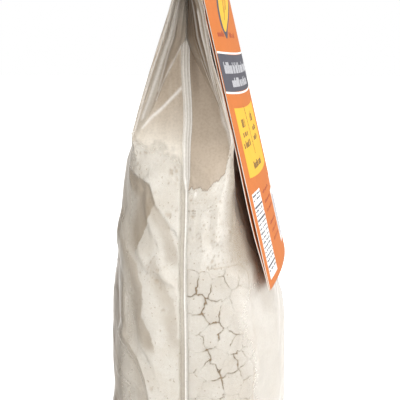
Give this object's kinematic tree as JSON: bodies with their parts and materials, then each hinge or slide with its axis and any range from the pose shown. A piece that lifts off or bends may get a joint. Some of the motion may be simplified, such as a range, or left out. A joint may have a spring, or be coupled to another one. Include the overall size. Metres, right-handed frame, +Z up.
{
  "type": "bag of flour",
  "caption": "Clear gusseted bag of flour standing on its base, with a folded hang card stapled to its heat-sealed top.",
  "frame": {"origin": "on the flat base the bag stands on, below the middle of its body", "axes": "+Z up, -Y the side with the hang card, +X and -X the gusseted sides"},
  "size_m": [0.1366, 0.0987, 0.283],
  "materials": {
    "film": "clear glossy film with soft creases",
    "flour": "matt off-white powder, caked and cracked where it was pressed",
    "card": "printed board with a slight sheen",
    "staple": "bright drawn wire"
  },
  "bodies": {
    "root": {"flour_bag": "film", "card": "card", "staple": "staple"}
  },
  "joints": []
}
